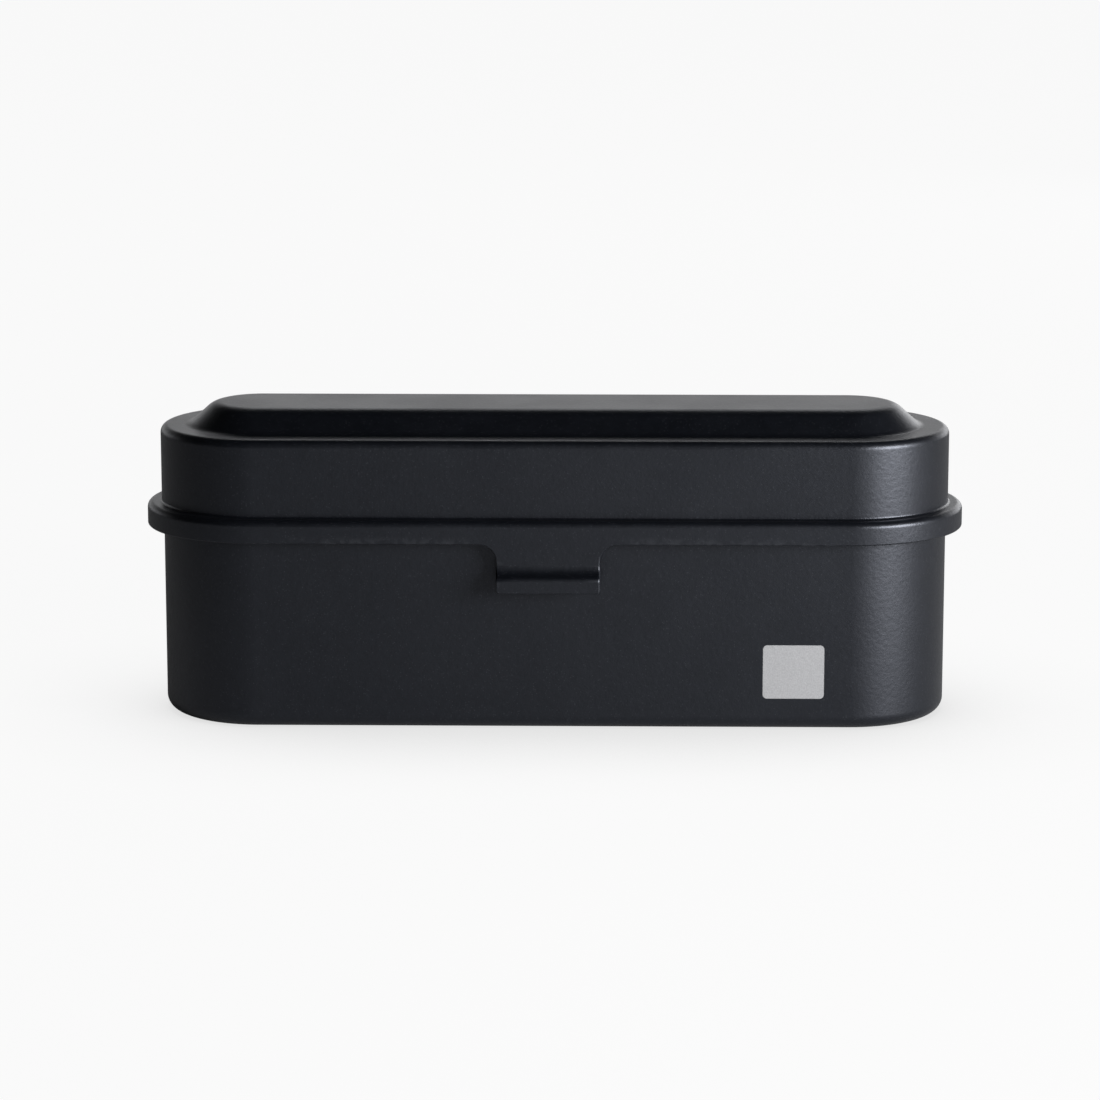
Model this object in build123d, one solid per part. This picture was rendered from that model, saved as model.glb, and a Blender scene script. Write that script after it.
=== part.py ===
from build123d import *
import math
import os

# Film case: a drawn steel box with a hinged drawn lid, for five rolls of small film
# standing in one row. Millimetres. The origin is the middle of the underside, +Z is up
# and -Y is the front, where the lid's tab is.

# Sheet steel. Its rounds are runs of short flats, with fewer on the face that is hidden.
SHEET = 0.7
ROUND_FLAT_COUNT = 4
HIDDEN_FLAT_COUNT = 2

# Base
BASE_INSET = 0.4
BASE_CORNER = 2.6
BEAD_RADIUS = 1.05
BEAD_FLAT_COUNT = 8

# Lid. The skirt hangs round the base's rim, and the band stands on the ledge inside it.
BAND_DEPTH = 38.4
SKIRT_FOOT_Z = 36.1
SKIRT_HEIGHT = 4.4
SKIRT_OUTSET = 2.7
SKIRT_ROUND = 1.9
BAND_HEIGHT = 14.7
BAND_ROUND = 1.5
RAISED_HEIGHT = 4.2
SHOULDER_WIDTH = 5.5
SLOPE_ANGLE = 42
SLOPE_FOOT_ROUND = 2.4
SLOPE_CREST_ROUND = 4.0
LID_SEAT_GAP = 0.3

# Tab at the front of the lid
TAB_WIDTH = 19.4
TAB_FILLET = 3.3
TAB_DROP = 8.9
LIP_HEIGHT = 2.95
LIP_OUTSET = 2.2
LIP_RISE = 0.8
LIP_BEND = 1.45
LIP_CORNER = 0.5
TAB_ROOT = 1.0

# Hinges
HINGE_INSET = 19.8
HINGE_WIDTH = 14.0
LEAF_SHEET = 0.6
LEAF_BEND = 1.0
LEAF_CORNER = 1.5
PIN_RADIUS = 0.75
PIN_FIT = 0.05
PIN_END = 0.4
KNUCKLE_WIDTH = 5.6
KNUCKLE_GAP = 0.2
KNUCKLE_SWEEP = 310
HINGE_SWING_GAP = 0.3
LID_LEAF_REACH = 9.0
LID_CRANK_START = 4.6
LID_CRANK_RISE = 3.4
BASE_LEAF_REACH = 8.0
BASE_CRANK_START = 1.4
BASE_CRANK_DROP = 3.2

# Moulded insert. Its row of round wells sets the length of the whole case.
WELL_COUNT = 5
WELL_BORE = 26.4
WELL_WEB = 1.5
WELL_WALL = 1.2
WELL_FLOOR = 1.2
WELL_LEAD = 0.6
INSERT_HEIGHT = 29.0
INSERT_DECK = 1.6
INSERT_FLANGE = 9.0
INSERT_WALL = 1.2
INSERT_GAP = 1.2
INSERT_EDGE = 0.6

# Places that follow from the sizes above. The plan of every shell is a straight middle
# with half-round ends, whose centres are those of the first and last well.
WELL_PITCH = WELL_BORE + WELL_WEB
END_X = (WELL_COUNT - 1) * WELL_PITCH / 2
LEDGE_Z = SKIRT_FOOT_Z + SKIRT_HEIGHT
SHOULDER_Z = LEDGE_Z + BAND_HEIGHT
CREST_Z = SHOULDER_Z + RAISED_HEIGHT
TAB_FOOT_Z = SKIRT_FOOT_Z - TAB_DROP
BAND_U = BAND_DEPTH / 2
BASE_U = BAND_U - BASE_INSET
SKIRT_U = BAND_U + SKIRT_OUTSET
INSERT_U = BASE_U - SHEET - INSERT_GAP
BEAD_U = BASE_U - SHEET + BEAD_RADIUS
BEAD_Z = LEDGE_Z - SHEET - LID_SEAT_GAP - BEAD_RADIUS
KNUCKLE_BORE = PIN_RADIUS + PIN_FIT
KNUCKLE_RADIUS = KNUCKLE_BORE + LEAF_SHEET
HINGE_X = END_X - HINGE_INSET
AXIS_Y = SKIRT_U + KNUCKLE_RADIUS
AXIS_Z = SKIRT_FOOT_Z - HINGE_SWING_GAP - KNUCKLE_RADIUS
PLATE_Y = AXIS_Y - KNUCKLE_BORE
LID_CRANK_Z = SKIRT_FOOT_Z + LID_CRANK_START
LID_PLATE_Z = LID_CRANK_Z + LID_CRANK_RISE
LID_LEAF_TOP = LID_PLATE_Z + LID_LEAF_REACH
BASE_CRANK_Z = AXIS_Z - KNUCKLE_RADIUS - BASE_CRANK_START
BASE_PLATE_Z = BASE_CRANK_Z - BASE_CRANK_DROP
BASE_LEAF_FOOT = BASE_PLATE_Z - BASE_LEAF_REACH

# The front wall's upright section: x runs outwards from the plan's centre line, y up
FRONT_SECTION = Plane(origin=(END_X, 0, 0), x_dir=(0, -1, 0), z_dir=(-1, 0, 0))
LEFT = 1
RIGHT = -1


def rounded(corners, radii, flat_counts):
    """Line through corners, with each one rounded by a run of flats inside its radius."""
    points = [corners[0]]
    places = zip(corners, corners[1:], corners[2:], radii, flat_counts)
    for before, corner, after, radius, flats in places:
        way = (corner - before).normalized()
        turn = math.radians(way.get_angle(after - corner))
        inwards = (after - corner).normalized() - way * math.cos(turn)
        start = corner - way * radius * math.tan(turn / 2)
        for step in range(flats + 1 if radius else 1):
            angle = turn * step / flats
            along = way * math.sin(angle)
            across = inwards * ((1 - math.cos(angle)) / math.sin(turn))
            points.append(start + (along + across) * radius)
    return Polyline(*points, corners[-1])


def sheet_section(points, radii, thickness, side):
    """Closed section of a bent sheet, from the outline of one of its faces."""
    near = [Vector(*point) for point in points]
    ways = [(after - before).normalized() for before, after in zip(near, near[1:])]
    normals = [Vector(-way.Y, way.X) * side for way in ways]
    far = [near[0] + normals[0] * thickness]
    far_radii = []
    far_flats = []
    for i, radius in enumerate(radii):
        mitre = (normals[i] + normals[i + 1]) / (1 + normals[i].dot(normals[i + 1]))
        far.append(near[i + 1] + mitre * thickness)
        inside = ways[i].cross(ways[i + 1]).Z * side > 0
        grown = radius - thickness if inside else radius + thickness
        far_radii.append(grown if radius else 0)
        far_flats.append(1 if inside else HIDDEN_FLAT_COUNT)
    far.append(near[-1] + normals[-1] * thickness)
    near_line = rounded(near, radii, [ROUND_FLAT_COUNT] * len(radii))
    far_line = rounded(far, far_radii, far_flats)
    ends = [Line(near_line @ 0, far_line @ 0), Line(near_line @ 1, far_line @ 1)]
    return make_face([*near_line.edges(), *far_line.edges(), *ends])


def curl_section(centre, bore, thickness, start, sweep):
    """Section of a sheet's edge rolled round a bore."""
    inner = CenterArc(centre, bore, start, sweep)
    outer = CenterArc(centre, bore + thickness, start, sweep)
    ends = [Line(inner @ 0, outer @ 0), Line(inner @ 1, outer @ 1)]
    return make_face([inner, outer, *ends])


def run_round(section):
    """Carry a front section once round the plan: two straight sides, two half-round ends."""
    placed = FRONT_SECTION * section
    straight = extrude(placed, amount=2 * END_X, dir=(-1, 0, 0))
    end = revolve(placed, axis=Axis((END_X, 0, 0), (0, 0, 1)), revolution_arc=180)
    half = straight + end
    return half + half.rotate(Axis.Z, 180)


def stadium(half_depth):
    """Plan of a solid whose sides stand half_depth from the plan's centre line."""
    return SlotOverall(2 * (END_X + half_depth), 2 * half_depth)


def base_tub():
    """Drawn base: flat floor, rounded foot, upright wall and a rim rolled outwards into a bead."""
    outline = [(0, 0), (BASE_U, 0), (BASE_U, BEAD_Z)]
    wall = sheet_section(outline, [BASE_CORNER], SHEET, LEFT)
    turn = 180 / BEAD_FLAT_COUNT
    bead = RegularPolygon(BEAD_RADIUS, BEAD_FLAT_COUNT, major_radius=False, rotation=turn)
    return run_round(wall + Pos(BEAD_U, BEAD_Z) * bead)


def lid_wall():
    """Drawn lid: raised top, rounded shoulder, upright band, ledge and skirt."""
    slope_u = BAND_U - SHOULDER_WIDTH
    crest_u = slope_u - RAISED_HEIGHT / math.tan(math.radians(SLOPE_ANGLE))
    outline = [
        (0, CREST_Z),
        (crest_u, CREST_Z),
        (slope_u, SHOULDER_Z),
        (BAND_U, SHOULDER_Z),
        (BAND_U, LEDGE_Z),
        (SKIRT_U, LEDGE_Z),
        (SKIRT_U, SKIRT_FOOT_Z),
    ]
    radii = [SLOPE_CREST_ROUND, SLOPE_FOOT_ROUND, BAND_ROUND, 0, SKIRT_ROUND]
    return run_round(sheet_section(outline, radii, SHEET, RIGHT))


def tab_front():
    """Front view of the tab: straight sides, hollow corners at the skirt, small ones below."""
    tab = Pos(0, TAB_FOOT_Z + TAB_DROP / 2) * Rectangle(TAB_WIDTH, TAB_DROP)
    tab = fillet(tab.vertices().group_by(Axis.Y)[0], LIP_CORNER)
    root_width = TAB_WIDTH + 4 * TAB_FILLET
    root = Pos(0, SKIRT_FOOT_Z + TAB_ROOT / 2) * Rectangle(root_width, TAB_ROOT)
    outline = tab + root
    inner = outline.vertices().filter_by_position(Axis.X, -TAB_WIDTH / 2, TAB_WIDTH / 2)
    return fillet(inner.group_by(Axis.Y)[-1], TAB_FILLET)


def lid_tab():
    """Tab with an outward lip, cut from the same sheet as the skirt."""
    lip_top = TAB_FOOT_Z + LIP_HEIGHT
    outline = [
        (SKIRT_U, SKIRT_FOOT_Z + TAB_ROOT),
        (SKIRT_U, lip_top + LIP_RISE),
        (SKIRT_U + LIP_OUTSET, lip_top),
        (SKIRT_U + LIP_OUTSET, TAB_FOOT_Z),
    ]
    section = sheet_section(outline, [LIP_BEND, LIP_BEND], SHEET, RIGHT)
    band = extrude(FRONT_SECTION * section, amount=2 * END_X, dir=(-1, 0, 0))
    return band & extrude(Plane.XZ * tab_front(), amount=2 * SKIRT_U)


def leaf(section, free_end_z):
    """Hinge leaf of full width from its section, with its plate's free corners rounded."""
    solid = extrude(Plane.YZ * section, amount=HINGE_WIDTH / 2, both=True)
    upright = solid.edges().filter_by(Axis.Y)
    corners = upright.filter_by_position(Axis.Z, free_end_z, free_end_z)
    return fillet(corners, LEAF_CORNER)


def base_leaf():
    """Leaf on the base: a plate on the wall, a crank out under the skirt, two end knuckles."""
    outline = [
        (BASE_U + LEAF_SHEET, BASE_LEAF_FOOT),
        (BASE_U + LEAF_SHEET, BASE_PLATE_Z),
        (PLATE_Y, BASE_CRANK_Z),
        (PLATE_Y, AXIS_Z),
    ]
    plate = sheet_section(outline, [LEAF_BEND, LEAF_BEND], LEAF_SHEET, LEFT)
    knuckle = curl_section((AXIS_Y, AXIS_Z), KNUCKLE_BORE, LEAF_SHEET, 180, -KNUCKLE_SWEEP)
    notch = Box(KNUCKLE_WIDTH + 2 * KNUCKLE_GAP, 4 * KNUCKLE_RADIUS, 4 * KNUCKLE_RADIUS)
    notch_middle = AXIS_Z + KNUCKLE_RADIUS - HINGE_SWING_GAP
    return leaf(plate + knuckle, BASE_LEAF_FOOT) - Pos(0, AXIS_Y, notch_middle) * notch


def lid_leaf():
    """Leaf on the lid: a plate on the band, a crank out over the skirt, one middle knuckle."""
    outline = [
        (BAND_U + LEAF_SHEET, LID_LEAF_TOP),
        (BAND_U + LEAF_SHEET, LID_PLATE_Z),
        (PLATE_Y, LID_CRANK_Z),
        (PLATE_Y, AXIS_Z),
    ]
    plate = sheet_section(outline, [LEAF_BEND, LEAF_BEND], LEAF_SHEET, RIGHT)
    knuckle = curl_section((AXIS_Y, AXIS_Z), KNUCKLE_BORE, LEAF_SHEET, 180, KNUCKLE_SWEEP)
    solid = leaf(plate + knuckle, LID_LEAF_TOP)
    notch = Box(HINGE_WIDTH, 4 * KNUCKLE_RADIUS, 4 * KNUCKLE_RADIUS)
    notch_x = (KNUCKLE_WIDTH + HINGE_WIDTH) / 2
    notch_middle = AXIS_Z - KNUCKLE_RADIUS + HINGE_SWING_GAP
    for x in (-notch_x, notch_x):
        solid -= Pos(x, AXIS_Y, notch_middle) * notch
    return solid


def hinge_pin():
    pin = Cylinder(PIN_RADIUS, HINGE_WIDTH + 2 * PIN_END, rotation=(0, 90, 0))
    return Pos(0, AXIS_Y, AXIS_Z) * pin


def film_insert():
    """Moulded tray: a deck with a short flange round it and a row of open cups."""
    floor_z = SHEET
    deck_top = floor_z + INSERT_HEIGHT
    flange_foot = deck_top - INSERT_FLANGE
    block = Pos(0, 0, flange_foot) * extrude(stadium(INSERT_U), amount=INSERT_FLANGE)
    block = chamfer(block.faces().sort_by(Axis.Z)[-1].edges(), INSERT_EDGE)
    under = extrude(stadium(INSERT_U - INSERT_WALL), amount=INSERT_FLANGE - INSERT_DECK)
    tray = block - Pos(0, 0, flange_foot) * under
    xs = [(i - (WELL_COUNT - 1) / 2) * WELL_PITCH for i in range(WELL_COUNT)]
    up = (Align.CENTER, Align.CENTER, Align.MIN)
    cup = Cylinder(WELL_BORE / 2 + WELL_WALL, INSERT_HEIGHT - INSERT_DECK / 2, align=up)
    well = Cylinder(WELL_BORE / 2, INSERT_HEIGHT, align=up)
    lead = Cone(WELL_BORE / 2, WELL_BORE / 2 + 2 * WELL_LEAD, 2 * WELL_LEAD, align=up)
    for x in xs:
        tray += Pos(x, 0, floor_z) * cup
    for x in xs:
        tray -= Pos(x, 0, floor_z + WELL_FLOOR) * well
        tray -= Pos(x, 0, deck_top - WELL_LEAD) * lead
    return tray


def all_parts():
    """Every piece by its node's name."""
    parts = {"base_tub": base_tub(), "lid_shell": lid_wall() + lid_tab()}
    parts["film_insert"] = film_insert()
    for side, x in (("left", -HINGE_X), ("right", HINGE_X)):
        parts[f"{side}_hinge_base_leaf"] = Pos(x, 0, 0) * base_leaf()
        parts[f"{side}_hinge_lid_leaf"] = Pos(x, 0, 0) * lid_leaf()
        parts[f"{side}_hinge_pin"] = Pos(x, 0, 0) * hinge_pin()
    return parts


os.makedirs("parts", exist_ok=True)
for name, solid in all_parts().items():
    export_step(solid, f"parts/{name}.step")
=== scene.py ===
import math

import bmesh
import bpy
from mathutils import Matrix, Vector


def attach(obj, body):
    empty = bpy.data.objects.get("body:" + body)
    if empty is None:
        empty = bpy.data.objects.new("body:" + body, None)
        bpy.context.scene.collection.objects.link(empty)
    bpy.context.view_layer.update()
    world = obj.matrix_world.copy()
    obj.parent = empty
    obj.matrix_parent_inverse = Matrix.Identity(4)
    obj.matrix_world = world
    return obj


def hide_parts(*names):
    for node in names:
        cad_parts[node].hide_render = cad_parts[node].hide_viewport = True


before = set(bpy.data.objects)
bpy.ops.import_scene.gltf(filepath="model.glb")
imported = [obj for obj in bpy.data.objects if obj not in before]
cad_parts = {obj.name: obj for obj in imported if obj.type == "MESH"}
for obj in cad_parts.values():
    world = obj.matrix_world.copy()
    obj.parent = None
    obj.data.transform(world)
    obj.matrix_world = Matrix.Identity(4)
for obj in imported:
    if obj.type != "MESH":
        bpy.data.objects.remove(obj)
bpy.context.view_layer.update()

# The film case's lid, base and hinge leaves are bent sheet steel, so each is a surface that
# follows the sheet's line, given its thickness and rounded where it was cut. Lengths are in
# millimetres up to the mesh, and the mesh is in metres. A point of a section line is (u, z),
# where u is the distance outwards from the plan's centre line.
MM = 0.001
SHEET = 0.7

# Rounds on cut edges
COATED_EDGE = 0.3
LEAF_EDGE = 0.12
TRAY_EDGE = 0.25
PIN_EDGE = 0.2
EDGE_SEGMENTS = 3
EDGE_ANGLE = math.radians(50)

# How finely rounds are stepped, and how far off an arc's ends a point holds the flat
ARC_STEP = math.radians(6)
CURL_STEP = 2 * ARC_STEP
FEWEST_STEPS = 3
HOLD = 0.12
END_STEPS = 56
CORNER_STEPS = 8

# Where a section starts: how far inside the crest's corner, and inside the floor's round
CREST_RUN = 3.0
FLOOR_RUN = 1.0

# Vertices nearer than this are one
SAME_PLACE = 0.0001

# Plan of the lid and the base: a straight middle with half-round ends
END_X = 55.8

# Lid, from the middle of its top down to the skirt's foot
CREST_Z = 59.4
SHOULDER_Z = 55.2
LEDGE_Z = 40.5
SKIRT_FOOT_Z = 36.1
CREST_U = 9.035
SLOPE_U = 13.7
BAND_U = 19.2
SKIRT_U = 21.9
CREST_ROUND = 4.0
SLOPE_ROUND = 2.4
BAND_ROUND = 1.5
LEDGE_FILLET = 0.45
SKIRT_ROUND = 1.2

# The skirt's front that is one face with the tab's root, and where the lid has sections
FRONT_HALF = 14.5
LID_COLUMNS = (0.0, 4.0, 8.0, FRONT_HALF, 20.0, 32.0, 44.0, END_X)

# Tab, a little to the left of the middle. Its columns are measured from its own middle.
TAB_X = -0.85
TAB_HALF = 9.7
TAB_FILLET = 3.3
TAB_ROOT_Z = SKIRT_FOOT_Z - TAB_FILLET
LIP_ROOT_Z = 30.95
LIP_TOP_Z = 30.15
TAB_FOOT_Z = 27.2
LIP_U = 24.1
ROOT_BEND = 1.7
LIP_BEND = 0.9
LIP_CORNER = 0.5
TAB_COLUMNS = (-6.5, -3.2, 0.0, 3.2, 6.5)

# Base, and the bead that its rim is rolled into
BASE_U = 18.8
BASE_CORNER = 2.6
BEAD_BORE = 0.35
BEAD_Z = 38.45
BEAD_SWEEP = 285
BASE_COLUMNS = (0.0, 28.0, END_X)

# Hinges
HINGE_X = 36.0
HINGE_HALF = 7.0
LEAF_SHEET = 0.6
LEAF_CORNER = 1.5
LEAF_CORNER_STEP = 15
LEAF_BEND = 1.0
LEAF_STEP = 0.4
AXIS_U = 23.3
AXIS_Z = 34.4
PLATE_U = 22.5
KNUCKLE_BORE = 0.8
KNUCKLE_SWEEP = 310
BASE_LEAF_LINE = [(19.4, 20.4), (19.4, 28.4), (PLATE_U, 31.6), (PLATE_U, 32.7)]
LID_LEAF_LINE = [(19.8, 53.1), (19.8, 44.1), (PLATE_U, 40.7), (PLATE_U, 36.1)]
BASE_NOTCH = (0.0, 3.0)
LID_NOTCH = (2.8, HINGE_HALF)
WELD_X = 3.6
WELD_RADIUS = 1.3
WELD_DEPTH = 0.14


# Lines and meshes

def rounded(corners, radii):
    """Line through corners with a true arc at each, and a point just off each arc's ends."""
    points = [Vector(corners[0])]
    for before, corner, after, radius in zip(corners, corners[1:], corners[2:], radii):
        before, corner, after = Vector(before), Vector(corner), Vector(after)
        way_in, way_out = (corner - before).normalized(), (after - corner).normalized()
        turn = way_in.angle(way_out)
        inwards = (way_out - way_in * math.cos(turn)).normalized()
        reach = radius * math.tan(turn / 2)
        start = corner - way_in * reach
        steps = max(FEWEST_STEPS, math.ceil(turn / ARC_STEP))
        points.append(start - way_in * HOLD)
        for step in range(steps + 1):
            angle = turn * step / steps
            off = way_in * math.sin(angle) + inwards * (1 - math.cos(angle))
            points.append(start + off * radius)
        points.append(corner + way_out * (reach + HOLD))
    return points + [Vector(corners[-1])]


def curl(centre, radius, start, sweep):
    """Points of an arc round a centre, after its first one. Angles are in degrees."""
    steps = math.ceil(abs(math.radians(sweep)) / CURL_STEP)
    angles = [math.radians(start + sweep * (i + 1) / steps) for i in range(steps)]
    return [Vector(centre) + Vector((math.cos(a), math.sin(a))) * radius for a in angles]


def spread(start, end, step):
    """Points on a straight run, from its start up to, but without, its end."""
    start, end = Vector(start), Vector(end)
    count = math.ceil((end - start).length / step)
    return [start.lerp(end, i / count) for i in range(count)]


def squeezed(x, half, corner, into):
    """Where column x stands in a row that runs through a strip's rounded corners."""
    core = half - corner
    if abs(x) <= core:
        return x
    reach = math.sqrt(max(0.0, corner**2 - into**2))
    return math.copysign(core + (abs(x) - core) / corner * reach, x)


def both(values):
    """The values and their opposites, from the lowest to the highest."""
    return sorted({sign * value for value in values for sign in (-1, 1)})


def plan_columns(xs):
    """Where sections stand round the plan: a place on the centre line and a way outwards."""
    angles = [math.pi * i / END_STEPS for i in range(1, END_STEPS)]
    right = [(END_X, math.sin(a), -math.cos(a)) for a in angles]
    left = [(-END_X, -math.sin(a), math.cos(a)) for a in angles]
    return [(x, 0, -1) for x in xs] + right + [(x, 0, 1) for x in reversed(xs)] + left


def join(bm, above, below, skipped=()):
    """Faces between two rows of vertices, but for the columns that are skipped."""
    for i in range(len(above) - 1):
        if i not in skipped:
            bm.faces.new((above[i], below[i], below[i + 1], above[i + 1]))


def swept(bm, line, columns):
    """Surface of a section line carried round the plan, flat inside its first row, and its rows."""
    rows = []
    for point in line:
        places = [(x + a * point.x, b * point.x, point.y) for x, a, b in columns]
        rows.append([bm.verts.new(Vector(place) * MM) for place in places])
    for above, below in zip(rows, rows[1:]):
        join(bm, above[-1:] + above, below[-1:] + below)
    bm.faces.new(rows[0])
    return rows


def piece_of(bm, name, body, cad_node, material):
    """A mesh that rides on a body and stands for a CAD node."""
    bmesh.ops.remove_doubles(bm, verts=bm.verts, dist=SAME_PLACE * MM)
    for face in bm.faces:
        face.smooth = True
    mesh = bpy.data.meshes.new(name)
    bm.to_mesh(mesh)
    bm.free()
    mesh.materials.append(material)
    piece = bpy.data.objects.new(name, mesh)
    bpy.context.scene.collection.objects.link(piece)
    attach(piece, body)
    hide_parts(cad_node)
    return piece


def soften(piece, edge):
    """Rounds sharp edges and keeps flat faces flat in the light."""
    bevel = piece.modifiers.new("edges", "BEVEL")
    bevel.width = edge * MM
    bevel.segments = EDGE_SEGMENTS
    bevel.limit_method = "ANGLE"
    bevel.angle_limit = EDGE_ANGLE
    bevel.use_clamp_overlap = False
    piece.modifiers.new("normals", "WEIGHTED_NORMAL")


def thicken(piece, thickness, edge):
    """The sheet's thickness behind its surface, and round cut edges."""
    solid = piece.modifiers.new("sheet", "SOLIDIFY")
    solid.thickness = thickness * MM
    solid.offset = -1
    solid.use_even_offset = True
    soften(piece, edge)


# Node helpers

def node(tree, kind, **values):
    """A new node with its settings."""
    made = tree.nodes.new(kind)
    for key, value in values.items():
        setattr(made, key, value)
    return made


def link(tree, source, target):
    """Joins a node's socket, or sets a plain number, to another node's input."""
    if isinstance(source, (int, float)):
        target.default_value = source
    else:
        tree.links.new(source, target)


def maths(tree, operation, *values):
    """The result of an operation on sockets or plain numbers."""
    made = node(tree, "ShaderNodeMath", operation=operation)
    for value, socket in zip(values, made.inputs):
        link(tree, value, socket)
    return made.outputs[0]


def hypotenuse(tree, across, up):
    """How far away a place is that lies so far across and so far up."""
    squares = [maths(tree, "MULTIPLY", side, side) for side in (across, up)]
    return maths(tree, "SQRT", maths(tree, "ADD", *squares))


def axes(tree, place):
    """A place's X, Y and Z."""
    parts = node(tree, "ShaderNodeSeparateXYZ")
    tree.links.new(place, parts.inputs[0])
    return parts.outputs


def ramp(tree, value, low, high, bottom=0.0, top=1.0):
    """Smooth step from bottom to top as value goes from low to high."""
    made = node(tree, "ShaderNodeMapRange", interpolation_type="SMOOTHSTEP")
    for source, socket in zip((value, low, high, bottom, top), made.inputs):
        link(tree, source, socket)
    return made.outputs[0]


def noise(tree, place, scale, detail=2.0):
    """Noise from 0 to 1, with scale cells to the metre."""
    made = node(tree, "ShaderNodeTexNoise")
    made.inputs["Scale"].default_value = scale
    made.inputs["Detail"].default_value = detail
    tree.links.new(place, made.inputs["Vector"])
    return made.outputs["Fac"]


def patches(tree, place, scale, low, high, bottom=0.0, top=1.0, detail=2.0):
    """Soft patches, from bottom to top as the noise goes from low to high."""
    return ramp(tree, noise(tree, place, scale, detail), low, high, bottom, top)


def blend_colour(tree, share, first, second):
    """First colour with a share of the second. Each is a socket or a plain colour."""
    made = node(tree, "ShaderNodeMix", data_type="RGBA")
    sockets = made.inputs[0], made.inputs[6], made.inputs[7]
    for source, socket in zip((share, first, second), sockets):
        if isinstance(source, tuple):
            socket.default_value = (*source, 1)
        else:
            tree.links.new(source, socket)
    return made.outputs[2]


def bumped(tree, shader, height, strength, depth):
    """Gives a shader relief, depth millimetres deep."""
    bump = node(tree, "ShaderNodeBump")
    bump.inputs["Strength"].default_value = strength
    bump.inputs["Distance"].default_value = depth * MM
    tree.links.new(height, bump.inputs["Height"])
    tree.links.new(bump.outputs["Normal"], shader.inputs["Normal"])


def new_material(name):
    """A material, its tree, its shader and the object's own coordinates."""
    material = bpy.data.materials.new(name)
    material.use_nodes = True
    tree = material.node_tree
    place = node(tree, "ShaderNodeTexCoord").outputs["Object"]
    return material, tree, tree.nodes["Principled BSDF"], place


# Materials. Scales are in cells to the metre, depths in millimetres, colours linear. A range
# is where a ramp starts and ends, and NOISE_RANGE holds most of what a noise gives.
NOISE_RANGE = (0.3, 0.7)
WEAR_SCALE = 900
WEAR_RANGE = (0.4, 0.65)
WEAR_HIGH = 0.62


def rub_edges(tree, place, colour, start, share, rubbed_colour):
    """A colour that goes some way to another where the surface is sharp, in broken patches."""
    sharp = node(tree, "ShaderNodeNewGeometry").outputs["Pointiness"]
    edge = ramp(tree, sharp, start, WEAR_HIGH)
    worn = maths(tree, "MULTIPLY", edge, patches(tree, place, WEAR_SCALE, *WEAR_RANGE))
    return blend_colour(tree, maths(tree, "MULTIPLY", worn, share), colour, rubbed_colour)


# Powder coat
FINE_SCALE = 3400
FINE_SHARE = 0.3
GRIT_SCALE = 1250
GRIT_STRENGTH = 0.55
GRIT_DEPTH = 0.06
TINT_SCALE = 420
TINT_RANGE = (0.35, 0.65)
COAT_DARK = (0.0022, 0.0029, 0.0047)
COAT_LIGHT = (0.0032, 0.0040, 0.0062)
FLECK_SCALE = 3600
FLECK_FROM = 0.93
FLECK_RANGE = (0.2, 0.5)
FLECK_COLOUR = (0.026, 0.028, 0.033)
FLECK_GLOSS = 0.08
SHEEN_SCALE = 70
SHEEN_DETAIL = 4.0
COAT_ROUGHNESS = (0.37, 0.41)
COAT_RUBBED = (0.03, 0.032, 0.037)
COAT_WEAR_FROM = 0.56
COAT_WEAR = 0.5
COAT_SPECULAR = 0.85
COAT_SPECULAR_TINT = (0.84, 0.88, 1.0, 1)

# Plain light patch with rounded corners, low on the right of the base's front
PATCH_X = 45.25
PATCH_Z = 11.25
PATCH_HALF_X = 5.75
PATCH_HALF_Z = 5.15
PATCH_CORNER = 0.8
PATCH_BLUR = 0.05
PATCH_DARK = (0.44, 0.44, 0.45)
PATCH_LIGHT = (0.50, 0.50, 0.51)
PATCH_ROUGHNESS = 0.55


def flecks(tree, place):
    """Small round flecks in a few of the cells."""
    cells = node(tree, "ShaderNodeTexVoronoi")
    cells.inputs["Scale"].default_value = FLECK_SCALE
    tree.links.new(place, cells.inputs["Vector"])
    colours = node(tree, "ShaderNodeSeparateColor")
    tree.links.new(cells.outputs["Color"], colours.inputs[0])
    chosen = maths(tree, "GREATER_THAN", colours.outputs[0], FLECK_FROM)
    spot = ramp(tree, cells.outputs["Distance"], *FLECK_RANGE, 1.0, 0.0)
    return maths(tree, "MULTIPLY", chosen, spot)


def past_side(tree, value, middle, half):
    """How far a value lies past the straight part of the patch's side."""
    off = maths(tree, "ABSOLUTE", maths(tree, "SUBTRACT", value, middle * MM))
    return maths(tree, "MAXIMUM", maths(tree, "SUBTRACT", off, (half - PATCH_CORNER) * MM), 0.0)


def patch_area(tree, place):
    """1 on the patch and 0 off it. The limit in Y leaves out the wall's inner face."""
    parts = axes(tree, place)
    across = past_side(tree, parts["X"], PATCH_X, PATCH_HALF_X)
    up = past_side(tree, parts["Z"], PATCH_Z, PATCH_HALF_Z)
    outer, inner = (PATCH_CORNER + PATCH_BLUR) * MM, (PATCH_CORNER - PATCH_BLUR) * MM
    inside = ramp(tree, hypotenuse(tree, across, up), outer, inner)
    front = maths(tree, "LESS_THAN", parts["Y"], -(BASE_U - SHEET / 2) * MM)
    return maths(tree, "MULTIPLY", inside, front)


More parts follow.
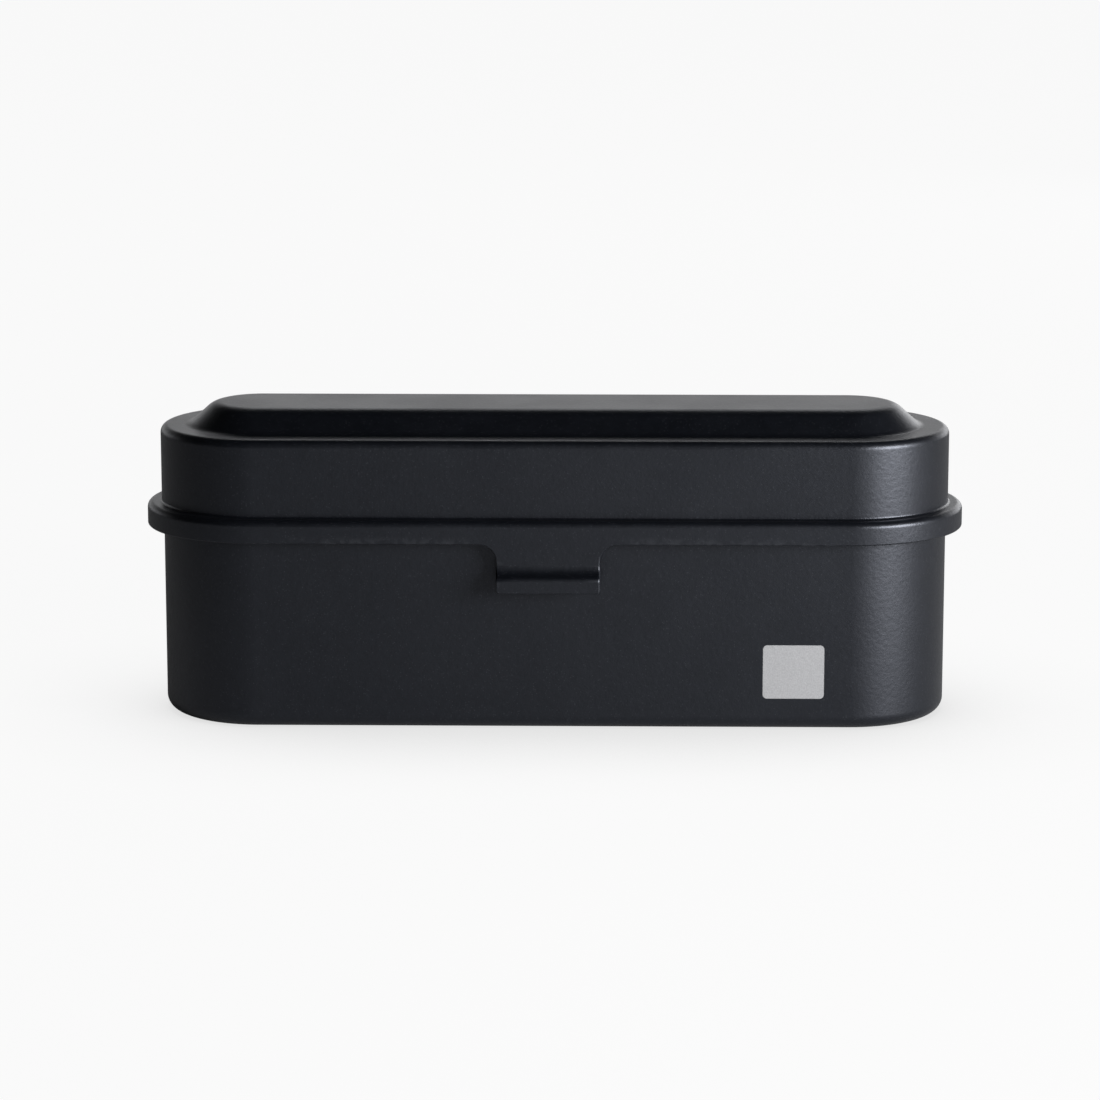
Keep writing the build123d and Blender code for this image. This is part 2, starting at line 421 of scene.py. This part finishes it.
def powder_coat(name, patch=False):
    """Charcoal powder coat: sandy grain, a few bright flecks and slow changes in its sheen."""
    material, tree, shader, place = new_material(name)
    fine = noise(tree, place, FINE_SCALE)
    grit = noise(tree, place, GRIT_SCALE)
    height = maths(tree, "ADD", maths(tree, "MULTIPLY", fine, FINE_SHARE), grit)
    bumped(tree, shader, height, GRIT_STRENGTH, GRIT_DEPTH)
    fleck = flecks(tree, place)
    mottle = patches(tree, place, TINT_SCALE, *TINT_RANGE)
    tint = blend_colour(tree, mottle, COAT_DARK, COAT_LIGHT)
    colour = blend_colour(tree, fleck, tint, FLECK_COLOUR)
    sheen = patches(
        tree, place, SHEEN_SCALE, *NOISE_RANGE, *COAT_ROUGHNESS, detail=SHEEN_DETAIL
    )
    rough = maths(tree, "SUBTRACT", sheen, maths(tree, "MULTIPLY", fleck, FLECK_GLOSS))
    colour = rub_edges(tree, place, colour, COAT_WEAR_FROM, COAT_WEAR, COAT_RUBBED)
    if patch:
        area = patch_area(tree, place)
        patch_colour = blend_colour(tree, ramp(tree, fine, *NOISE_RANGE), PATCH_DARK, PATCH_LIGHT)
        colour = blend_colour(tree, area, colour, patch_colour)
        rough = maths(tree, "MAXIMUM", rough, maths(tree, "MULTIPLY", area, PATCH_ROUGHNESS))
    tree.links.new(colour, shader.inputs["Base Color"])
    tree.links.new(rough, shader.inputs["Roughness"])
    shader.inputs["Specular IOR Level"].default_value = COAT_SPECULAR
    shader.inputs["Specular Tint"].default_value = COAT_SPECULAR_TINT
    return material


# Hinge coat, rubbed off within these distances of the pin's axis
RUB_OUTER = 1.6
RUB_INNER = 1.4
RUB_SCALE = 700
RUB_DETAIL = 3.0
RUB_RANGE = (0.5, 0.75)
RUB_SHARE = 0.8
BARE_STEEL = (0.22, 0.22, 0.23)


def hinge_coat(name):
    """The same powder coat, rubbed to steel where the knuckles turn."""
    material = powder_coat(name)
    tree = material.node_tree
    shader = tree.nodes["Principled BSDF"]
    place = tree.nodes["Texture Coordinate"].outputs["Object"]
    parts = axes(tree, place)
    across = maths(tree, "SUBTRACT", parts["Y"], AXIS_U * MM)
    up = maths(tree, "SUBTRACT", parts["Z"], AXIS_Z * MM)
    near = ramp(tree, hypotenuse(tree, across, up), RUB_OUTER * MM, RUB_INNER * MM)
    broken = patches(tree, place, RUB_SCALE, *RUB_RANGE, detail=RUB_DETAIL)
    rubbed = maths(tree, "MULTIPLY", near, broken)
    bare = maths(tree, "MULTIPLY", rubbed, RUB_SHARE)
    coated = shader.inputs["Base Color"].links[0].from_socket
    tree.links.new(blend_colour(tree, bare, coated, BARE_STEEL), shader.inputs["Base Color"])
    tree.links.new(bare, shader.inputs["Metallic"])
    return material


# Tray plastic
SPARK_SCALE = 4200
SPARK_DETAIL = 3.0
SPARK_STRENGTH = 0.3
SPARK_DEPTH = 0.03
PLASTIC_SCALE = 250
PLASTIC_DARK = (0.020, 0.020, 0.022)
PLASTIC_LIGHT = (0.026, 0.026, 0.028)
PLASTIC_RUBBED = (0.07, 0.07, 0.073)
PLASTIC_WEAR_FROM = 0.55
PLASTIC_WEAR = 0.4
PLASTIC_SHEEN_SCALE = 90
PLASTIC_ROUGHNESS = (0.50, 0.60)


def moulded_plastic(name):
    """Black moulded plastic with a fine spark-eroded grain."""
    material, tree, shader, place = new_material(name)
    grain = noise(tree, place, SPARK_SCALE, SPARK_DETAIL)
    bumped(tree, shader, grain, SPARK_STRENGTH, SPARK_DEPTH)
    mottle = patches(tree, place, PLASTIC_SCALE, *NOISE_RANGE)
    colour = blend_colour(tree, mottle, PLASTIC_DARK, PLASTIC_LIGHT)
    colour = rub_edges(tree, place, colour, PLASTIC_WEAR_FROM, PLASTIC_WEAR, PLASTIC_RUBBED)
    tree.links.new(colour, shader.inputs["Base Color"])
    sheen = patches(tree, place, PLASTIC_SHEEN_SCALE, *NOISE_RANGE, *PLASTIC_ROUGHNESS)
    tree.links.new(sheen, shader.inputs["Roughness"])
    return material


# Pin wire. The lines' share of the scale along X makes them long.
LINE_SCALE = 9000
LINE_STRETCH = (0.04, 1, 1)
LINE_STRENGTH = 0.3
LINE_DEPTH = 0.01
WIRE_DARK = (0.36, 0.36, 0.37)
WIRE_LIGHT = (0.50, 0.50, 0.51)
WIRE_ROUGHNESS = (0.28, 0.42)


def drawn_wire(name):
    """Bare steel wire, with fine lines along it."""
    material, tree, shader, place = new_material(name)
    along = node(tree, "ShaderNodeMapping")
    along.inputs["Scale"].default_value = LINE_STRETCH
    tree.links.new(place, along.inputs["Vector"])
    lines = noise(tree, along.outputs[0], LINE_SCALE)
    bumped(tree, shader, lines, LINE_STRENGTH, LINE_DEPTH)
    tree.links.new(blend_colour(tree, lines, WIRE_DARK, WIRE_LIGHT), shader.inputs["Base Color"])
    rough = ramp(tree, lines, *NOISE_RANGE, *WIRE_ROUGHNESS)
    tree.links.new(rough, shader.inputs["Roughness"])
    shader.inputs["Metallic"].default_value = 1.0
    return material


coat = powder_coat("coat")
base_coat = powder_coat("base_coat", patch=True)
leaf_coat = hinge_coat("leaf_coat")
tray_plastic = moulded_plastic("tray_plastic")
pin_wire = drawn_wire("pin_wire")


# Lid

def tab_rounds(bm, centre, radius, u, start, sweep):
    """Vertices of a round at the left of the tab's outline, and of its mirror at the right."""
    angles = [math.radians(start + sweep * k / CORNER_STEPS) for k in range(CORNER_STEPS + 1)]
    places = [(centre[0] + radius * math.cos(a), centre[1] + radius * math.sin(a)) for a in angles]
    left = [bm.verts.new(Vector((TAB_X + x, -u, z)) * MM) for x, z in places]
    right = [bm.verts.new(Vector((TAB_X - x, -u, z)) * MM) for x, z in reversed(places)]
    return left, right


def mesh_tab(bm, row):
    """The tab below its root: rows down the bent line, then the lip's flat, its corners rounded."""
    line = rounded(
        [(SKIRT_U, TAB_ROOT_Z), (SKIRT_U, LIP_ROOT_Z), (LIP_U, LIP_TOP_Z), (LIP_U, TAB_FOOT_Z)],
        [ROOT_BEND, LIP_BEND],
    )
    for point in line[1:-1]:
        below = [bm.verts.new(Vector((v.co.x / MM, -point.x, point.y)) * MM) for v in row]
        join(bm, row, below)
        row = below
    corner = (-TAB_HALF + LIP_CORNER, TAB_FOOT_Z + LIP_CORNER)
    left, right = tab_rounds(bm, corner, LIP_CORNER, LIP_U, 180, 90)
    bm.faces.new(list(reversed(row)) + left + right)


def mesh_lid(bm):
    """The lid's section carried round the plan, and the tab hanging from its front."""
    xs = both(LID_COLUMNS)
    line = rounded(
        [
            (CREST_U - CREST_RUN, CREST_Z),
            (CREST_U, CREST_Z),
            (SLOPE_U, SHOULDER_Z),
            (BAND_U, SHOULDER_Z),
            (BAND_U, LEDGE_Z),
            (SKIRT_U, LEDGE_Z),
            (SKIRT_U, SKIRT_FOOT_Z),
        ],
        [CREST_ROUND, SLOPE_ROUND, BAND_ROUND, LEDGE_FILLET, SKIRT_ROUND],
    )
    rows = swept(bm, line, plan_columns(xs))
    over, foot = rows[-2], rows[-1]

    # Skirt in front and root of the tab: one flat face with a hollow round at each side
    front = [i for i, x in enumerate(xs) if abs(x) <= FRONT_HALF]
    plain = dict.fromkeys(face for i in front[1:-1] for face in foot[i].link_faces)
    bmesh.ops.delete(bm, geom=list(plain), context="FACES")
    hollow = (-TAB_HALF - TAB_FILLET, TAB_ROOT_Z)
    left, right = tab_rounds(bm, hollow, TAB_FILLET, SKIRT_U, 90, -90)
    root = [bm.verts.new(Vector((TAB_X + x, -SKIRT_U, TAB_ROOT_Z)) * MM) for x in TAB_COLUMNS]
    top = [over[i] for i in reversed(front)]
    bm.faces.new(top + [foot[front[0]]] + left + root + right + [foot[front[-1]]])
    mesh_tab(bm, left[-1:] + root + right[:1])


bm = bmesh.new()
mesh_lid(bm)
lid = piece_of(bm, "lid_sheet", "lid", "lid_shell", coat)
thicken(lid, SHEET, COATED_EDGE)


# Base

def mesh_base(bm):
    """The base's section, with its rim rolled outwards, carried round the plan."""
    floor_start = (BASE_U - BASE_CORNER - FLOOR_RUN, 0)
    line = rounded([floor_start, (BASE_U, 0), (BASE_U, BEAD_Z)], [BASE_CORNER])
    line += curl((BASE_U + BEAD_BORE, BEAD_Z), BEAD_BORE, 180, -BEAD_SWEEP)
    swept(bm, line, plan_columns(both(BASE_COLUMNS)))
    bmesh.ops.reverse_faces(bm, faces=bm.faces)


bm = bmesh.new()
mesh_base(bm)
base = piece_of(bm, "base_sheet", "base", "base_tub", base_coat)
thicken(base, SHEET, COATED_EDGE)


# Hinge leaves

def leaf_rows(corners, sweep):
    """Points down a leaf, each with how far it lies into the free end's rounded corners, and
    the number of the first row that the notch between the knuckles cuts."""
    free, bend = Vector(corners[0]), Vector(corners[1])
    way = (bend - free).normalized()
    turns = range(90, 0, -LEAF_CORNER_STEP)
    ends = [LEAF_CORNER * math.sin(math.radians(turn)) for turn in turns]
    rows = [(free + way * (LEAF_CORNER - into), into) for into in ends]
    plate = spread(free + way * LEAF_CORNER, bend - way * LEAF_BEND, LEAF_STEP)
    rows += [(point, 0.0) for point in plate + rounded(corners, [LEAF_BEND] * 2)[1:]]
    first_cut = len(rows)
    rows += [(Vector((PLATE_U, AXIS_Z)), 0.0)]
    rows += [(point, 0.0) for point in curl((AXIS_U, AXIS_Z), KNUCKLE_BORE, 180, sweep)]
    return rows, first_cut


def mesh_leaf(bm, corners, sweep, notch, middle):
    """A leaf from its free end to its knuckles. The notch is a range of distances from middle."""
    steps = range(int(HINGE_HALF / LEAF_STEP) + 1)
    xs = both([step * LEAF_STEP for step in steps] + [*notch, HINGE_HALF])
    centres = [abs(left + right) / 2 for left, right in zip(xs, xs[1:])]
    notched = {i for i, centre in enumerate(centres) if notch[0] < centre < notch[1]}
    rows, first_cut = leaf_rows(corners, sweep)
    weld_z = (corners[0][1] + corners[1][1]) / 2

    above = None
    for number, (point, into) in enumerate(rows):
        row = []
        for x in xs:
            off = math.hypot(abs(x) - WELD_X, point.y - weld_z) / WELD_RADIUS
            dent = WELD_DEPTH * max(0.0, 1 - off**2) ** 2
            place = (middle + squeezed(x, HINGE_HALF, LEAF_CORNER, into), point.x - dent, point.y)
            row.append(bm.verts.new(Vector(place) * MM))
        if above:
            join(bm, above, row, notched if number >= first_cut else ())
        above = row
    loose = [vertex for vertex in bm.verts if not vertex.link_faces]
    bmesh.ops.delete(bm, geom=loose, context="VERTS")


for side, middle in (("left", -HINGE_X), ("right", HINGE_X)):
    for body, line, sweep, notch in (
        ("base", BASE_LEAF_LINE, -KNUCKLE_SWEEP, BASE_NOTCH),
        ("lid", LID_LEAF_LINE, KNUCKLE_SWEEP, LID_NOTCH),
    ):
        bm = bmesh.new()
        mesh_leaf(bm, line, sweep, notch, middle)
        if body == "lid":
            bmesh.ops.reverse_faces(bm, faces=bm.faces)
        title = f"{side}_hinge_{body}_leaf"
        leaf = piece_of(bm, f"{title}_sheet", body, title, leaf_coat)
        thicken(leaf, LEAF_SHEET, LEAF_EDGE)


# Tray and pins: the frame's own solids, with rounded edges and their materials
SMOOTH_ANGLE = math.radians(30)
FACET_GAP = 0.001


def smooth_by_angle():
    """Geometry nodes that shade faces smooth across all but sharp edges."""
    group = bpy.data.node_groups.new("smooth_by_angle", "GeometryNodeTree")
    group.interface.new_socket("Geometry", in_out="INPUT", socket_type="NodeSocketGeometry")
    group.interface.new_socket("Geometry", in_out="OUTPUT", socket_type="NodeSocketGeometry")
    entry = node(group, "NodeGroupInput")
    angle = node(group, "GeometryNodeInputMeshEdgeAngle")
    sharp = node(group, "FunctionNodeCompare", data_type="FLOAT", operation="LESS_THAN")
    sharp.inputs[1].default_value = SMOOTH_ANGLE
    group.links.new(angle.outputs["Unsigned Angle"], sharp.inputs[0])
    faces = node(group, "GeometryNodeSetShadeSmooth", domain="FACE")
    edges = node(group, "GeometryNodeSetShadeSmooth", domain="EDGE")
    leave = node(group, "NodeGroupOutput")
    group.links.new(entry.outputs[0], faces.inputs["Geometry"])
    group.links.new(faces.outputs[0], edges.inputs["Geometry"])
    group.links.new(sharp.outputs[0], edges.inputs["Shade Smooth"])
    group.links.new(edges.outputs[0], leave.inputs[0])
    return group


smooth_group = smooth_by_angle()


def dress(piece, material, edge):
    """Gives a solid its material, joins its facets, shades them smooth and rounds its edges."""
    piece.data.materials.clear()
    piece.data.materials.append(material)
    weld = piece.modifiers.new("weld", "WELD")
    weld.merge_threshold = FACET_GAP * MM
    shade = piece.modifiers.new("smooth", "NODES")
    shade.node_group = smooth_group
    soften(piece, edge)


dress(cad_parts["film_insert"], tray_plastic, TRAY_EDGE)
for side in ("left", "right"):
    dress(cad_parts[f"{side}_hinge_pin"], pin_wire, PIN_EDGE)


# Floor. The glow is the white that rays see instead of the floor's own shading.
FLOOR_SIZE = 12
FLOOR_COLOUR = (0.6, 0.6, 0.6, 1)
GLOW_SEEN = 0.94
GLOW_MIRRORED = 0.04
# Painted contact shadow in the floor's glow: its reach in metres, its darkest glow, its ramp and
# its samples
PAINTED_SHADOW_REACH = 0.05
PAINTED_SHADOW_GLOW = 0.78
PAINTED_SHADOW_RANGE = (0.3, 1.0)
PAINTED_SHADOW_SAMPLES = 8


def studio_white(name):
    """Pale floor: near white to the camera, its glow dimmed by a painted shadow near what stands on
    it.
    """
    material = bpy.data.materials.new(name)
    material.use_nodes = True
    tree = material.node_tree
    tree.nodes.clear()
    out = node(tree, "ShaderNodeOutputMaterial")
    diffuse = node(tree, "ShaderNodeBsdfDiffuse")
    diffuse.inputs["Color"].default_value = FLOOR_COLOUR
    glow = node(tree, "ShaderNodeEmission")
    near = node(tree, "ShaderNodeAmbientOcclusion", samples=PAINTED_SHADOW_SAMPLES)
    near.inputs["Distance"].default_value = PAINTED_SHADOW_REACH
    # Painted shadow: the glow dims where ambient occlusion finds the case close by
    shade = ramp(tree, near.outputs["AO"], *PAINTED_SHADOW_RANGE, PAINTED_SHADOW_GLOW, 1.0)
    tree.links.new(shade, glow.inputs["Strength"])
    rays = node(tree, "ShaderNodeLightPath").outputs
    seen = maths(tree, "MULTIPLY", rays["Is Camera Ray"], GLOW_SEEN)
    bounced = maths(tree, "MAXIMUM", rays["Is Glossy Ray"], rays["Is Transmission Ray"])
    mirrored = maths(tree, "MULTIPLY", bounced, GLOW_MIRRORED)
    mix = node(tree, "ShaderNodeMixShader")
    tree.links.new(maths(tree, "MAXIMUM", seen, mirrored), mix.inputs[0])
    tree.links.new(diffuse.outputs[0], mix.inputs[1])
    tree.links.new(glow.outputs[0], mix.inputs[2])
    tree.links.new(mix.outputs[0], out.inputs[0])
    return material


bpy.ops.mesh.primitive_plane_add(size=FLOOR_SIZE, location=(0, 0, 0))
floor = bpy.context.object
floor.name = "floor"
floor.data.materials.append(studio_white("floor_white"))


# World: white low behind, weaker low at the right, nearly black elsewhere, white to the camera
WORLD_WHITE = (1, 1, 1, 1)
WORLD_LOW = (0.14, 0.44)
WORLD_SIDE = (0.2, 0.8)
WORLD_RIGHT = 0.25
WORLD_DARK = 0.006


def studio_world(name):
    """The studio's walls, as light from all round."""
    world = bpy.data.worlds.new(name)
    world.use_nodes = True
    tree = world.node_tree
    back = tree.nodes["Background"]
    back.inputs["Color"].default_value = WORLD_WHITE
    seen = node(tree, "ShaderNodeLightPath").outputs["Is Camera Ray"]
    parts = axes(tree, node(tree, "ShaderNodeTexCoord").outputs["Generated"])
    low = ramp(tree, parts["Z"], *WORLD_LOW, 1.0, 0.0)
    behind = ramp(tree, parts["Y"], *WORLD_SIDE)
    right = ramp(tree, parts["X"], *WORLD_SIDE, 0.0, WORLD_RIGHT)
    backdrop = maths(tree, "MULTIPLY", low, maths(tree, "MAXIMUM", behind, right))
    level = maths(tree, "ADD", backdrop, WORLD_DARK)
    tree.links.new(maths(tree, "MAXIMUM", level, seen), back.inputs["Strength"])
    return world


bpy.context.scene.world = studio_world("studio")


# Lamps. Sizes and distances are in metres, power in watts.
LAMP_AIM = Vector((0, 0, 0.03))


def area_lamp(name, azimuth, elevation, distance, width, height, power):
    """Oblong lamp that looks at the film case. Azimuth 0 is in front and 90 at the right."""
    a, e = math.radians(azimuth), math.radians(elevation)
    light = bpy.data.lights.new(name, "AREA")
    light.shape = "RECTANGLE"
    light.size = width
    light.size_y = height
    light.energy = power
    lamp = bpy.data.objects.new(name, light)
    away = Vector((math.sin(a) * math.cos(e), -math.cos(a) * math.cos(e), math.sin(e)))
    lamp.location = LAMP_AIM + away * distance
    lamp.rotation_mode = "QUATERNION"
    lamp.rotation_quaternion = away.to_track_quat("Z", "Y")
    bpy.context.scene.collection.objects.link(lamp)


area_lamp("key", azimuth=52, elevation=13, distance=0.6, width=0.36, height=0.24, power=4.6)
area_lamp("overhead", azimuth=178, elevation=32, distance=1.2, width=0.6, height=0.25, power=0.8)
area_lamp("fill", azimuth=148, elevation=12, distance=0.8, width=0.5, height=0.3, power=0.8)


# Camera, in metres, millimetres of lens and radians
CAMERA_PLACE = (0.01357, -0.7962, 0.2016)
CAMERA_DOWN = 0.212
CAMERA_TURN = 0.017
CAMERA_SENSOR = 36
CAMERA_LENS = 139.2
CAMERA_SHIFT_X = -0.0042
CAMERA_SHIFT_Y = 0.00145

camera_data = bpy.data.cameras.new("camera")
camera_data.sensor_width = CAMERA_SENSOR
camera_data.lens = CAMERA_LENS
camera_data.shift_x = CAMERA_SHIFT_X
camera_data.shift_y = CAMERA_SHIFT_Y
camera = bpy.data.objects.new("camera", camera_data)
camera.location = CAMERA_PLACE
camera.rotation_euler = (math.pi / 2 - CAMERA_DOWN, 0, CAMERA_TURN)
bpy.context.scene.collection.objects.link(camera)
bpy.context.scene.camera = camera
bpy.context.scene.view_settings.view_transform = "Standard"
